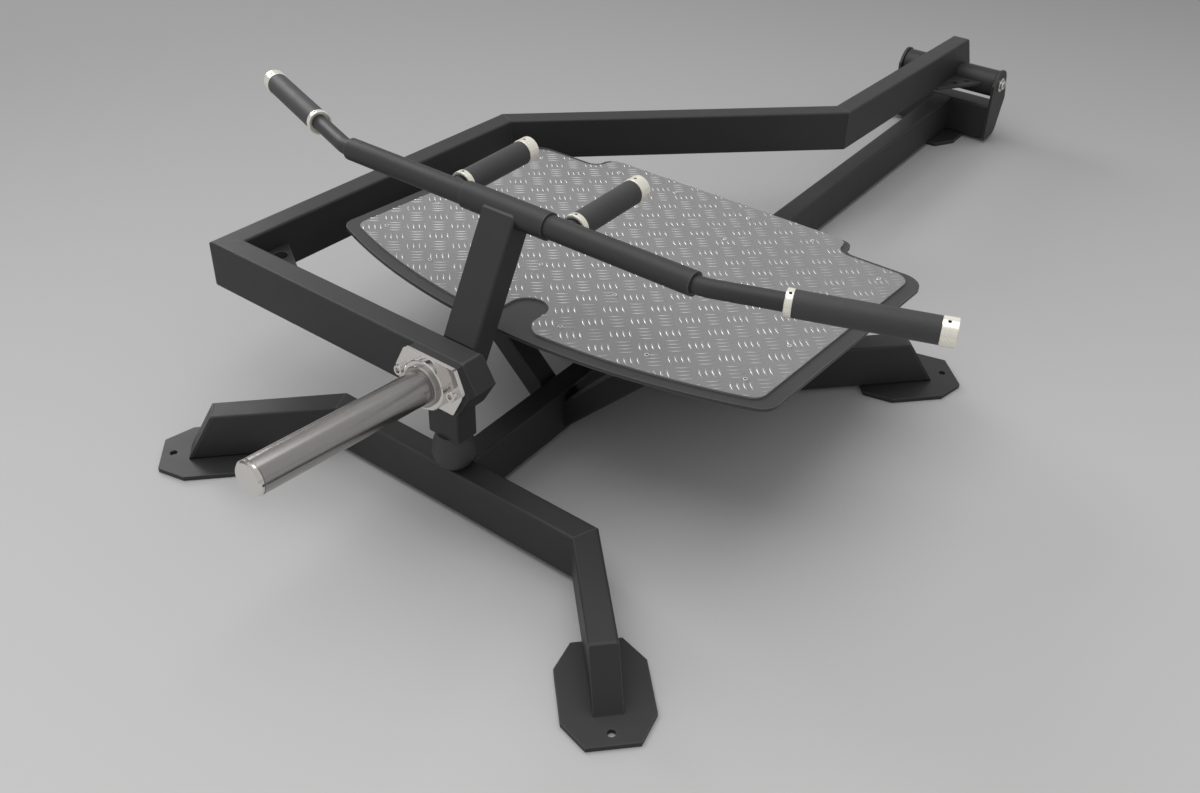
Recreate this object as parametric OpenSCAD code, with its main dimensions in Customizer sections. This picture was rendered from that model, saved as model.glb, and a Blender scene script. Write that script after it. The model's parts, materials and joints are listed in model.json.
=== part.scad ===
// Plate-loaded lever row machine. Millimetres, +Z up, +Y towards the lever pivot.
// The origin lies on the floor at the centre of the four outer anchor holes.

/* [Frame tube] */
// Height of the rectangular frame tube
tube_h = 80; // [60:1:100]
// Width of the rectangular frame tube
tube_w = 40; // [30:1:60]
// Wall of the frame tube
tube_t = 3; // [2:0.5:4]
// Outside corner radius of the tubes
tube_r = 4; // [3.5:0.5:6]

/* [Base] */
// Distance from the front face of the front cross tube to the rear face of the middle one
base_span = 605; // [500:5:800]
// Half length of a cross tube at its inner mitre corner
cross_half = 238; // [180:1:320]
// Angle of the splayed legs from the cross tubes
leg_angle = 45; // [30:1:60]
// Length of a leg along its top edge, from the inner mitre corner
leg_top = 193; // [140:1:260]
// Length of a leg along its bottom edge, from the inner mitre corner
leg_bottom = 241; // [180:1:320]
// Thickness of the leg end caps
cap_t = 3; // [2:0.5:5]

/* [Foot plates] */
// Length of a foot plate
foot_len = 170; // [140:1:220]
// Width of a foot plate
foot_w = 125; // [100:1:160]
// Thickness of a foot plate
foot_t = 8; // [6:1:12]
// Corner cut along the foot plate
foot_cut_len = 42; // [20:1:60]
// Corner cut across the foot plate
foot_cut_w = 27; // [15:1:40]
// Distance a foot plate reaches past the bottom of the leg end
foot_reach = 45; // [30:1:70]
// Anchor hole diameter
anchor_d = 12; // [8:0.5:16]
// Anchor hole distance from the end of the foot plate
anchor_edge = 18.5; // [14:0.5:30]
// Extra length of the rear foot plate
rear_foot_more = 32; // [20:1:50]
// Distance of the rear anchor hole behind the rear cross box
rear_hole_gap = 44; // [40:1:60]

/* [Platform] */
// Height of the base plate top above the floor, at the origin
plat_z = 257.5; // [220:0.5:320]
// Rearward slope of the platform
plat_tilt = 4.9; // [0:0.1:10]
// Half width of the base plate
plat_half = 413; // [320:1:480]
// Front of the base plate at the centreline
plat_front = -178; // [-240:1:-120]
// Rear of the base plate outside the steps
plat_wing = 399; // [340:1:460]
// Rear of the base plate between the steps
plat_rear = 440; // [360:1:500]
// Radius of the bowed front edge
plat_bow = 1058; // [900:1:2000]
// Half width of the base plate between the rear steps
step_half = 260; // [200:1:300]
// Thickness of the base plate
plat_t = 6; // [4:0.5:12]
// Thickness of the tread plate
tread_t = 3; // [2:0.5:5]
// Margin of the base plate outside the tread plate at the sides
tread_margin = 23; // [10:1:40]
// Margin at the bowed front edge
tread_front_margin = 20; // [10:1:40]
// Margin at the rear wings
tread_wing_margin = 12; // [6:1:30]
// Margin at the rear centre
tread_rear_margin = 3; // [2:0.5:10]
// Half width of the notch at the front centre
notch_r = 31; // [20:1:45]
// Depth of the notch centre behind the tread plate front
notch_in = 52; // [35:1:80]
// Radius of the flared notch mouth
notch_flare = 38; // [20:1:45]
// Screw head diameter
screw_d = 8; // [5:0.5:12]

/* [Platform supports] */
// Side of the square support tube
strut_s = 40; // [30:1:50]
// Wall of the support tube
strut_t = 2.5; // [2:0.5:3]
// Slope of the front struts
strut_rise = 45; // [35:1:55]
// Height of the strut centreline at the side of the beam
strut_z = 42; // [38:0.5:48]
// Middle of the front struts behind the front cross tube's front face
strut_y = 272; // [200:1:360]
// Distance of the rear posts from the centreline
post_x = 190; // [120:1:215]

/* [Pivot] */
// Pivot axis behind the origin
pivot_y = 1434.5; // [1300:0.5:1600]
// Pivot axis height
pivot_z = 135; // [130:0.5:160]
// Barrel outside diameter
barrel_d = 60; // [54:1:70]
// Barrel wall
barrel_t = 5; // [4:0.5:8]
// Axle diameter
axle_d = 30; // [20:0.5:36]
// Clear width between the side plates
yoke_w = 228; // [180:1:260]
// Side plate thickness
yoke_t = 6; // [5:0.5:10]
// Radius of the side plate's rounded top
yoke_r = 33; // [32:0.5:40]
// Reach of the side plate behind the pivot axis
yoke_back = 48; // [42:1:56]
// Depth of the rear cross box
box_d = 50; // [40:1:60]
// Front face of the rear cross box ahead of the pivot axis
box_front = 29; // [24:1:34]
// Diameter of the pivot bolts
bolt_d = 12; // [8:1:16]
// Thickness of the thrust washers
washer_t = 1.6; // [1:0.1:3]
// Length of a pivot bush
bush_l = 30; // [20:1:50]

/* [Lever arm] */
// Top of the lever tube above the pivot axis
arm_top = 80; // [74:0.5:86]
// Distance of the lever's front face behind the front cross tube's front face
arm_inset = 3.5; // [0:0.5:8]
// Rear end of the lever behind the pivot axis, at the tube's mid height
arm_back = 35.5; // [34:0.5:50]
// Slope of the lever's cut rear end
arm_slope = 28; // [0:1:32]
// Side offset of the lever's side tube
arm_side = 480; // [440:1:540]
// Start of the diagonal tube ahead of the pivot axis
arm_turn = 565; // [450:1:650]
// Half width of the hex end at its top and bottom corners
hex_top = 45; // [40:1:50]
// Half width of the hex end at its waist
hex_waist = 69; // [60:1:80]
// Gusset plate thickness
gusset_t = 6; // [4:0.5:10]
// Front corner gusset along the front tube
gusset_x = 130; // [80:1:160]
// Front corner gusset along the side tube
gusset_y = 78; // [60:1:120]
// Barrel gusset reach along the barrel
brace_x = 65; // [45:1:80]
// Barrel gusset reach along the lever
brace_y = 104; // [70:1:140]

/* [Weight horn] */
// Horn diameter
horn_d = 50; // [48:0.1:50.5]
// Horn length outside the collar
horn_l = 290.5; // [200:1:420]
// Upward slope of the horn from the lever
horn_rise = 4; // [0:0.5:8]
// Height of the horn's axis above the middle of the lever tube, at the flange
horn_up = 3.5; // [0:0.5:6]
// Thickness of the hex flange
flange_t = 6.5; // [6:0.5:14]
// Flange half height
flange_h = 36; // [34:0.5:42]
// Height of the flange's middle above the horn's axis
flange_up = 2.5; // [0:0.5:5]
// Flange half width at its top and bottom corners
flange_top = 47; // [36:0.5:50]
// Flange waist half width
flange_w = 64.5; // [60:0.5:80]
// Thickness of the wedge behind the flange, at the horn's axis
backing_t = 16; // [10:0.5:20]
// Radius of the round boss on the flange
boss_r = 38; // [34:0.5:41]
// Height of the boss above the flange
boss_t = 11.5; // [4:0.5:14]
// Diameter of the horn's root collar
collar_d = 62; // [54:0.5:70]
// Length of the root collar
collar_t = 6; // [4:0.5:20]
// Length of the plug that shows at the horn's end
plug_t = 8; // [5:0.5:12]
// Distance of the flange bolts from the centre
flange_bolt_x = 50; // [49:0.5:54]

/* [Bumper] */
// Bumper ball diameter
ball_d = 65; // [50:1:80]
// Stub length below the lever tube
stub_l = 64; // [40:1:90]
// Stub and handle post width
post_w = 60; // [50:1:80]
// Height of the ball above its widest ring
ball_up = 33; // [24:0.5:36]
// Radius of the ball's upper sides, seen from the side
ball_side = 68; // [40:1:100]
// Depth that the lever's weight flattens the ball where it rests
ball_squash = 7; // [0:0.5:10]

/* [Handle] */
// Handle post lean
post_lean = 28; // [10:1:40]
// Post depth
post_d = 40; // [30:1:50]
// Distance from the post foot to the bar
post_l = 194; // [150:1:300]
// Centre sleeve diameter
sleeve_d = 40; // [36:0.5:50]
// Centre sleeve length
sleeve_l = 150; // [90:1:220]
// Bar diameter
bar_d = 34; // [30:0.5:38]
// Bar length
bar_l = 623; // [500:1:800]
// Diameter of the cranked end tubes
end_d = 25; // [22:0.5:30]
// Crank angle of the ends
crank = 20; // [5:1:40]
// Bend radius
bend_r = 70; // [50:1:120]
// Distance of the inner collar from the bend corner
grip_start = 103.5; // [60:0.5:160]
// Rubber grip length on the cranked ends
grip_l = 177; // [120:1:220]
// Grip diameter
grip_d = 36; // [30:0.5:42]
// Collar diameter
ring_d = 38; // [34:0.5:44]
// Inner collar width
ring_w = 10; // [6:0.5:20]
// End cap length
cap_l = 20; // [12:0.5:30]
// Distance of the neutral grips from the centreline
neutral_x = 103; // [85:1:140]
// Gap between the bar and the neutral grips' collars
neutral_gap = 0.5; // [0.3:0.1:15]
// Upward slope of the neutral grips toward the rear
neutral_rise = 2; // [0:0.5:5]
// Rubber length of the neutral grips
neutral_l = 121; // [90:1:150]
// Set screw hole diameter
set_d = 4.5; // [3:0.5:6]
// Lean of the cranked ends' set screws toward the front
set_lean = 20; // [0:5:45]

/* [Clearances] */
// Gap between seated pieces of one body
seat = 0.05; // [0.02:0.01:0.1]
// Radial running clearance of the bushes on the axle
run = 0.05; // [0.02:0.01:0.1]
// Gap between the thrust washers and their neighbours
side_gap = 0.2; // [0.1:0.05:0.4]
// Gap under the resting bumper
rest_gap = 0.05; // [0.02:0.01:0.1]

/* [Display] */
// Which piece to show

/* [Hidden] */
$fn = 72;
powder = [0.17, 0.17, 0.18];
rubber_col = [0.15, 0.15, 0.155];
chrome_col = [0.78, 0.77, 0.75];
satin_col = [0.83, 0.81, 0.74];
tread_col = [0.58, 0.58, 0.58];
zinc_col = [0.7, 0.7, 0.68];
bronze_col = [0.62, 0.48, 0.28];
big = 3000;
half_span = base_span / 2;
mitre = tan(leg_angle / 2);
turn45 = tan(22.5);
over = 6;
beam_z = foot_t + tube_h / 2;
leg_slope = atan((leg_bottom - leg_top) / tube_h);
cap_k = cap_t / cos(leg_slope);
box_front_y = pivot_y - box_front;
barrel_half = yoke_w / 2 - washer_t - 2 * side_gap;
bush_d = barrel_d - 2 * barrel_t;
arm_front = pivot_y + half_span - arm_inset;
arm_mid = arm_top - tube_h / 2;
arm_low = arm_top - tube_h;
front_mid = arm_front - tube_w / 2;
diag_run = arm_side;
side_turn = arm_turn + diag_run;
ball_drop = stub_l + ball_up - arm_low;
ball_reach = norm([front_mid, ball_drop]);
rest_z = foot_t + tube_h + rest_gap;
ball_high = rest_z + ball_d / 2 - ball_squash - pivot_z;
rest_tilt = asin(ball_high / ball_reach) + atan2(ball_drop, front_mid);
post_foot = -front_mid + tube_w / 2 + seat;
bar_y = post_foot + post_d / 2 * cos(post_lean) + post_l * sin(post_lean);
bar_z = arm_top - post_d / 2 * sin(post_lean) + post_l * cos(post_lean);
bend_x = bar_l / 2 + bend_r * tan(crank / 2);
grip_end = grip_start + ring_w + grip_l;
neutral_start = bar_d / 2 + neutral_gap;
neutral_end = neutral_start + ring_w + neutral_l;
horn_root = [0, -arm_front - backing_t, arm_mid + horn_up];
post_r = 4;

// Rounded rectangle, centred
module rounded(w, h, r) {
    square([w - 2 * r, h], center = true);
    square([w, h - 2 * r], center = true);
    for (i = [-1, 1], j = [-1, 1])
        translate([i * (w / 2 - r), j * (h / 2 - r)])
            circle(r = r, $fn = 24);
}

module hollow(w, h, r, t) {
    difference() {
        rounded(w, h, r);
        rounded(w - 2 * t, h - 2 * t, r - t + 0.5);
    }
}

// Frame tube along +X, its section centred on the axis
module tube_x(len) {
    rotate([90, 0, 90])
        linear_extrude(height = len)
            hollow(tube_w, tube_h, tube_r, tube_t);
}

module bar_x(len) {
    rotate([90, 0, 90])
        linear_extrude(height = len)
            rounded(tube_w, tube_h, tube_r);
}

// Everything of the base that is mirrored left to right
module left() {
    mirror([1, 0, 0])
        children();
}

// Leg coordinates: X along the leg from the inner mitre corner, Y across it
module leg_place(front) {
    mirror([0, front ? 0 : 1, 0])
        translate([cross_half, -half_span, 0])
            rotate([0, 0, -leg_angle])
                children();
}

module leg_plan(len) {
    translate([0, 0, -big / 2])
        linear_extrude(height = big)
            polygon([[mitre * over, -over], [len, -over], [len, tube_w + over],
                [-mitre * (tube_w + over), tube_w + over]]);
}

// Slab across a leg between two sloped planes, measured back from the leg end
module leg_slab(from, to) {
    translate([0, tube_w + over, foot_t])
        rotate([90, 0, 0])
            linear_extrude(height = tube_w + 2 * over)
                polygon([[leg_bottom - from, 0], [leg_bottom - to, 0],
                    [leg_top - to, tube_h], [leg_top - from, tube_h]]);
}

module leg() {
    color(powder)
        intersection() {
            translate([-tube_w, tube_w / 2, beam_z])
                tube_x(leg_bottom + 2 * tube_w);
            leg_plan(leg_bottom + over);
            leg_slab(leg_bottom + tube_w, cap_k + seat);
        }
}

module leg_cap() {
    color(powder)
        intersection() {
            translate([0, tube_w / 2, beam_z])
                bar_x(leg_bottom + tube_w);
            leg_slab(cap_k, 0);
        }
}

module leg_front_r() { leg_place(true) leg(); }
module leg_front_l() { left() leg_place(true) leg(); }
module leg_mid_r() { leg_place(false) leg(); }
module leg_mid_l() { left() leg_place(false) leg(); }

module leg_caps() {
    leg_place(true) leg_cap();
    left() leg_place(true) leg_cap();
    leg_place(false) leg_cap();
    left() leg_place(false) leg_cap();
}

// Cross tube with both mitred ends, front face at Y = 0
module cross_tube(x_from) {
    color(powder)
        intersection() {
            translate([x_from, tube_w / 2, beam_z])
                tube_x(2 * cross_half + 2 * tube_w);
            translate([0, 0, -big / 2])
                linear_extrude(height = big)
                    polygon([[x_from, -over], [cross_half - mitre * over, -over],
                        [cross_half + mitre * (tube_w + over), tube_w + over],
                        [x_from, tube_w + over]]);
            translate([0, 0, -big / 2])
                linear_extrude(height = big)
                    polygon([[big, -over], [-cross_half + mitre * over, -over],
                        [-cross_half - mitre * (tube_w + over), tube_w + over],
                        [big, tube_w + over]]);
        }
}

module front_cross_tube() {
    translate([0, -half_span, 0])
        cross_tube(-cross_half - tube_w);
}

module mid_cross_tube_r() {
    mirror([0, 1, 0])
        translate([0, -half_span, 0])
            cross_tube(tube_w / 2 + seat);
}

module mid_cross_tube_l() {
    left() mid_cross_tube_r();
}

module main_beam() {
    color(powder)
        translate([0, -half_span + tube_w + seat, beam_z])
            rotate([0, 0, 90])
                tube_x(box_front_y + half_span - tube_w - 2 * seat);
}

// Foot plate with its outer end at X = 0, reaching towards -X
module foot(len = foot_len) {
    color(powder)
        difference() {
            linear_extrude(height = foot_t - seat)
                polygon([[0, -foot_w / 2 + foot_cut_w], [0, foot_w / 2 - foot_cut_w],
                    [-foot_cut_len, foot_w / 2], [foot_cut_len - len, foot_w / 2],
                    [-len, foot_w / 2 - foot_cut_w], [-len, -foot_w / 2 + foot_cut_w],
                    [foot_cut_len - len, -foot_w / 2], [-foot_cut_len, -foot_w / 2]]);
            translate([-anchor_edge, 0, -1])
                cylinder(d = anchor_d, h = foot_t + 2, $fn = 48);
        }
}

module leg_foot() {
    translate([leg_bottom + foot_reach, tube_w / 2, 0])
        foot();
}

module foot_front_r() { leg_place(true) leg_foot(); }
module foot_front_l() { left() leg_place(true) leg_foot(); }
module foot_mid_r() { leg_place(false) leg_foot(); }
module foot_mid_l() { left() leg_place(false) leg_foot(); }

foot_rear_end = pivot_y + box_d - box_front + rear_hole_gap + anchor_edge;

module foot_rear() {
    translate([0, foot_rear_end, 0])
        rotate([0, 0, 90])
            foot(foot_len + rear_foot_more);
}

module rear_box() {
    color(powder)
        translate([-yoke_w / 2 + seat, box_front_y + box_d / 2, beam_z])
            rotate([90, 0, 90])
                linear_extrude(height = yoke_w - 2 * seat)
                    hollow(box_d, tube_h, tube_r, tube_t);
}

// Side plate outline: X is along the machine from the pivot axis, Y is height
plate_nick = 5;
plate_bulge = 15;
plate_corner = 24;
plate_front = yoke_r + 3.5;

// Direction from a circle's centre to its tangent point, left of the line to the next circle
function tangent_side(c1, r1, c2, r2) =
    let (l = norm(c2 - c1), u = (c2 - c1) / l, s = (r1 - r2) / l)
    u * s + [-u[1], u[0]] * sqrt(1 - s * s);

// Plate outline from the front top round to the front foot, tangent to its three arcs
module plate_outline(top, bulge, corner, edge) {
    n0 = tangent_side(edge, 0, top, yoke_r);
    n1 = tangent_side(top, yoke_r, bulge, plate_bulge);
    n2 = tangent_side(bulge, plate_bulge, corner, plate_corner);
    polygon([edge, top + yoke_r * n0, top + yoke_r * n1, bulge + plate_bulge * n1,
        bulge + plate_bulge * n2, corner + plate_corner * n2, [corner[0], foot_t],
        [edge[0] + plate_nick, foot_t], [edge[0], foot_t + plate_nick]]);
}

module side_plate() {
    top = [0, pivot_z];
    bulge = [yoke_back - plate_bulge, pivot_z - 45];
    corner = [3, foot_t + plate_corner];
    color(powder)
        translate([yoke_w / 2, pivot_y, 0])
            rotate([90, 0, 90])
                difference() {
                    union() {
                        linear_extrude(height = yoke_t)
                            plate_outline(top, bulge, corner, [-plate_front, pivot_z + 6]);
                        translate(top)
                            cylinder(r = yoke_r, h = yoke_t);
                        translate(bulge)
                            cylinder(r = plate_bulge, h = yoke_t);
                        translate(corner)
                            cylinder(r = plate_corner, h = yoke_t);
                    }
                    translate([0, pivot_z, -1])
                        cylinder(d = bolt_d + 0.4, h = yoke_t + 2);
                }
}

module side_plate_r() { side_plate(); }
module side_plate_l() { left() side_plate(); }

// Removes everything above the underside of the platform
module under_platform() {
    difference() {
        children();
        translate([0, 0, plat_z])
            rotate([-plat_tilt, 0, 0])
                translate([-big / 2, -big / 2, -plat_t - seat])
                    cube([big, big, big]);
    }
}

module square_tube(len) {
    linear_extrude(height = len)
        hollow(strut_s, strut_s, tube_r, strut_t);
}

module strut() {
    color(powder)
        under_platform()
            difference() {
                translate([tube_w / 2, strut_y - half_span, strut_z])
                    rotate([0, 90 - strut_rise, 0])
                        translate([0, 0, -2 * strut_s])
                            square_tube(500);
                translate([tube_w / 2 + seat - big, -big / 2, -big / 2])
                    cube([big, big, big]);
            }
}

module strut_r() { strut(); }
module strut_l() { left() strut(); }

module rear_posts() {
    color(powder)
        for (i = [-1, 1])
            under_platform()
                translate([i * post_x, half_span - tube_w / 2, foot_t + tube_h + seat])
                    square_tube(300);
}

// Cuts the corner at v back to an arc, between the directions of its two neighbours
module corner_cut(v, from, to, r) {
    a = (from - v) / norm(from - v);
    b = (to - v) / norm(to - v);
    half = acos(a * b) / 2;
    in = (a + b) / norm(a + b);
    c = v + in * r / sin(half);
    ta = v + a * r / tan(half);
    tb = v + b * r / tan(half);
    difference() {
        polygon([c, c + (ta - c) * 1.1, v - in * 2, c + (tb - c) * 1.1]);
        translate(c)
            circle(r = r);
    }
}

// Cuts back the corner between a plate's side and its bowed front edge
module bow_corner(half, front, bow, r) {
    yc = front + bow;
    c = [half - r, yc - sqrt(pow(bow - r, 2) - pow(half - r, 2))];
    t = [0, yc] + (c - [0, yc]) * bow / (bow - r);
    low = t[1] - 4;
    difference() {
        polygon([c, [half + 1, c[1]], [half + 1, low], c + (t - c) * 1.1]);
        translate(c)
            circle(r = r);
    }
}

// Fills the inner corner of a rear step
module step_fill(x, y, r) {
    translate([x, y])
        difference() {
            translate([-1, -1])
                square(r + 1);
            translate([r, r])
                circle(r = r);
        }
}

// Plan of a platform plate: half width, front, wing and rear edges, step and radii
module plate_plan(half, front, bow, wing, rear, step, radii) {
    difference() {
        union() {
            translate([-half, front])
                square([2 * half, wing - front]);
            translate([-step, wing - 1])
                square([2 * step, rear - wing + 1]);
            for (i = [-1, 1])
                scale([i, 1])
                    step_fill(step, wing, radii[3]);
        }
        difference() {
            translate([-half - 1, front - 1])
                square([2 * half + 2, bow / 2]);
            translate([0, front + bow])
                circle(r = bow, $fn = 360);
        }
        for (i = [-1, 1])
            scale([i, 1]) {
                bow_corner(half, front, bow, radii[0]);
                corner_cut([half, wing], [half, 0], [step, wing], radii[1]);
                corner_cut([step, rear], [step, wing], [0, rear], radii[2]);
            }
    }
}

module on_platform() {
    translate([0, 0, plat_z])
        rotate([-plat_tilt, 0, 0])
            children();
}

// Corner radii: front, rear wing, step and step fillet
base_radii = [30, 40, 20, 20];
tread_radii = [24, 30, 25, 28];
tread_step_in = 10;

module platform_base() {
    color(powder)
        on_platform()
            translate([0, 0, -plat_t])
                linear_extrude(height = plat_t - seat)
                    plate_plan(plat_half, plat_front, plat_bow, plat_wing, plat_rear,
                        step_half, base_radii);
}

tread_front = plat_front + tread_front_margin;

module tread_notch() {
    translate([0, tread_front + notch_in])
        circle(r = notch_r);
    translate([-notch_r, tread_front - 1])
        square([2 * notch_r, notch_in + 1]);
    for (i = [-1, 1])
        scale([i, 1])
            difference() {
                translate([notch_r - 1, tread_front - 1])
                    square([notch_flare + 1, notch_flare + 1]);
                translate([notch_r + notch_flare, tread_front + notch_flare])
                    circle(r = notch_flare);
            }
}

module tread_plate() {
    color(tread_col)
        on_platform()
            linear_extrude(height = tread_t)
                difference() {
                    plate_plan(plat_half - tread_margin, tread_front,
                        plat_bow, plat_wing - tread_wing_margin,
                        plat_rear - tread_rear_margin, step_half - tread_step_in, tread_radii);
                    tread_notch();
                }
}

// Screw positions, one of each mirrored pair
screws = [[349, -56], [350, 64], [211, -96], [73, 12], [352, 346], [204, 393],
    [77, 393], [72, -118], [92, 295]];

module platform_screws() {
    color(zinc_col)
        on_platform()
            for (p = screws, i = [-1, 1])
                translate([i * p[0], p[1], tread_t + seat])
                    difference() {
                        cylinder(d1 = screw_d, d2 = screw_d - 2.5, h = 1.6, $fn = 24);
                        translate([0, 0, 0.6])
                            cylinder(d = 3.6, h = 1.2, $fn = 6);
                    }
}

// Turned parts along X at the pivot axis
module on_axis() {
    translate([0, pivot_y, pivot_z])
        rotate([0, 90, 0])
            children();
}

tap_depth = 32;

module axle() {
    color(zinc_col)
        on_axis()
            difference() {
                translate([0, 0, -yoke_w / 2 + seat])
                    cylinder(d = axle_d, h = yoke_w - 2 * seat);
                for (i = [0, 1])
                    mirror([0, 0, i])
                        translate([0, 0, yoke_w / 2 - tap_depth])
                            cylinder(d = bolt_d + 2 * seat, h = tap_depth + 1);
            }
}

head_d = 22;
head_h = 6.5;
disc_d = 32;
disc_t = 2.5;

module pivot_bolt() {
    translate([0, 0, yoke_w / 2 + yoke_t + seat])
        difference() {
            union() {
                cylinder(d = disc_d, h = disc_t);
                cylinder(d = head_d, h = disc_t + head_h - 2);
                translate([0, 0, disc_t + head_h - 2])
                    cylinder(d1 = head_d, d2 = head_d - 4, h = 2);
                translate([0, 0, -yoke_t - tap_depth + 4])
                    cylinder(d = bolt_d, h = yoke_t + tap_depth);
            }
            translate([0, 0, disc_t + head_h - 4])
                cylinder(d = 11, h = 5, $fn = 6);
        }
}

module pivot_bolts() {
    color(chrome_col)
        on_axis()
            for (i = [0, 1])
                mirror([0, 0, i])
                    pivot_bolt();
}

module thrust_washers() {
    color(bronze_col)
        on_axis()
            for (i = [0, 1])
                mirror([0, 0, i])
                    translate([0, 0, barrel_half + side_gap])
                        difference() {
                            cylinder(d = barrel_d - 4, h = washer_t);
                            translate([0, 0, -1])
                                cylinder(d = axle_d + 2 * run, h = washer_t + 2);
                        }
}

// The lever is drawn level about its pivot and then tipped to its resting angle
module arm_place() {
    translate([0, pivot_y, pivot_z])
        rotate([-rest_tilt, 0, 0])
            children();
}

// Tube segment from a point, with the slopes of its two mitred ends
module arm_segment(x, y, heading, len, m0, m1) {
    reach = tube_w / 2 + over;
    translate([x, y, arm_mid])
        rotate([0, 0, heading])
            intersection() {
                translate([-tube_w, 0, 0])
                    tube_x(len + 2 * tube_w);
                translate([0, 0, -tube_h])
                    linear_extrude(height = 2 * tube_h)
                        polygon([[-m0 * reach, -reach], [len - m1 * reach, -reach],
                            [len + m1 * reach, reach], [m0 * reach, reach]]);
            }
}

// Places children on the lever's sloping rear end, Y out of the end face
module on_rear_end() {
    translate([0, arm_back, arm_mid])
        rotate([arm_slope, 0, 0])
            children();
}

module arm_rear_tube() {
    color(powder)
        arm_place()
            difference() {
                arm_segment(0, arm_back + tube_h, -90, arm_back + tube_h + arm_turn, 0, turn45);
                on_rear_end()
                    translate([-tube_w, -cap_t - seat, -2 * tube_h])
                        cube([2 * tube_w, 3 * tube_h, 4 * tube_h]);
                rotate([0, 90, 0])
                    cylinder(d = barrel_d + 2 * seat, h = 3 * tube_w, center = true);
            }
}

module arm_diagonal_tube() {
    color(powder)
        arm_place()
            arm_segment(0, -arm_turn, -135, diag_run * sqrt(2), -turn45, -turn45);
}

module arm_side_tube() {
    color(powder)
        arm_place()
            arm_segment(-arm_side, -side_turn, -90, front_mid - side_turn, turn45, -1);
}

// Slab shaped like the pointed end of the front tube
module hex_slab(inset) {
    translate([0, -front_mid + tube_w, arm_mid])
        rotate([90, 0, 0])
            linear_extrude(height = 2 * tube_w)
                polygon([[-arm_side - tube_w, -tube_h / 2 - 1],
                    [hex_top - inset - hex_k, -tube_h / 2 - 1],
                    [hex_waist - inset, 0],
                    [hex_top - inset - hex_k, tube_h / 2 + 1],
                    [-arm_side - tube_w, tube_h / 2 + 1]]);
}

hex_k = (hex_waist - hex_top) / (tube_h / 2);
hex_cap = cap_t / cos(atan(hex_k));

module arm_front_tube() {
    color(powder)
        arm_place()
            intersection() {
                arm_segment(-arm_side, -front_mid, 0, arm_side + hex_waist + tube_w, 1, 0);
                hex_slab(hex_cap + seat);
            }
}

module arm_end_cap() {
    color(powder)
        arm_place()
            intersection() {
                translate([-tube_w / 2, -front_mid, arm_mid])
                    bar_x(4 * tube_w);
                difference() {
                    hex_slab(0);
                    hex_slab(hex_cap);
                }
            }
}

module arm_rear_cap() {
    color(powder)
        arm_place()
            intersection() {
                translate([0, arm_back + tube_h, arm_mid])
                    rotate([90, 0, 0])
                        linear_extrude(height = 2 * tube_h)
                            rounded(tube_w, tube_h, tube_r);
                on_rear_end()
                    translate([-tube_w, -cap_t, -tube_h])
                        cube([2 * tube_w, cap_t, 2 * tube_h]);
            }
}

corner_hole = 13;

module corner_gusset() {
    color(powder)
        arm_place()
            translate([-arm_side + tube_w / 2 + seat, -front_mid + tube_w / 2 + seat,
                arm_mid - gusset_t / 2])
                difference() {
                    linear_extrude(height = gusset_t)
                        polygon([[0, 0], [gusset_x, 0], [gusset_x, 4], [4, gusset_y],
                            [0, gusset_y]]);
                    translate([23.5, 43, -1])
                        cylinder(r = corner_hole, h = gusset_t + 2);
                }
}

module pivot_barrel() {
    color(powder)
        arm_place()
            rotate([0, 90, 0])
                difference() {
                    cylinder(d = barrel_d, h = 2 * barrel_half, center = true);
                    cylinder(d = bush_d + 2 * seat, h = 2 * barrel_half + 2, center = true);
                }
}

module barrel_gusset() {
    arm_place()
        difference() {
            translate([tube_w / 2 + seat, 0, arm_low])
                linear_extrude(height = gusset_t)
                    polygon([[0, 0], [0, -barrel_d / 2 - brace_y],
                        [4, -barrel_d / 2 - brace_y], [brace_x, -barrel_d / 2 - 4],
                        [brace_x, 0]]);
            rotate([0, 90, 0])
                cylinder(d = barrel_d + 2 * seat, h = 6 * tube_w, center = true);
            translate([36, -76, arm_low])
                cylinder(r = 10, h = 3 * gusset_t);
            translate([55, -46, arm_low])
                cylinder(r = 7.5, h = 3 * gusset_t);
        }
}

module barrel_gusset_r() { color(powder) barrel_gusset(); }
module barrel_gusset_l() { color(powder) left() barrel_gusset(); }

module pivot_bushes() {
    color(bronze_col)
        arm_place()
            rotate([0, 90, 0])
                for (i = [0, 1])
                    mirror([0, 0, i])
                        translate([0, 0, barrel_half - bush_l])
                            difference() {
                                cylinder(d = bush_d, h = bush_l);
                                translate([0, 0, -1])
                                    cylinder(d = axle_d + 2 * run, h = bush_l + 2);
                            }
}

// Hexagonal plate outline, pointed left and right
module hex_outline(waist, top, high) {
    polygon([[-waist, 0], [-top, high], [top, high], [waist, 0], [top, -high],
        [-top, -high]]);
}

// Horn coordinates: Z along the horn, starting at the flange's back face
module on_horn() {
    arm_place()
        translate(horn_root)
            rotate([90 - horn_rise, 0, 0])
                children();
}

bolt_hole = 10.4;

module flange_holes() {
    for (i = [-1, 1])
        translate([i * flange_bolt_x, flange_up, -2 * backing_t])
            cylinder(d = bolt_hole, h = 2 * backing_t + flange_t + 1, $fn = 36);
}

// Wedge between the lever's upright face and the tilted flange
module backing_plate() {
    color(powder)
        difference() {
            arm_place()
                translate([0, -arm_front - seat, arm_mid])
                    rotate([90, 0, 0])
                        linear_extrude(height = 3 * backing_t)
                            hex_outline(hex_waist, hex_top, tube_h / 2);
            on_horn()
                translate([-2 * hex_waist, -2 * hex_waist, -seat])
                    cube(4 * hex_waist);
            on_horn()
                flange_holes();
        }
}

tip_r = 11;
corner_r = 4;

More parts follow.
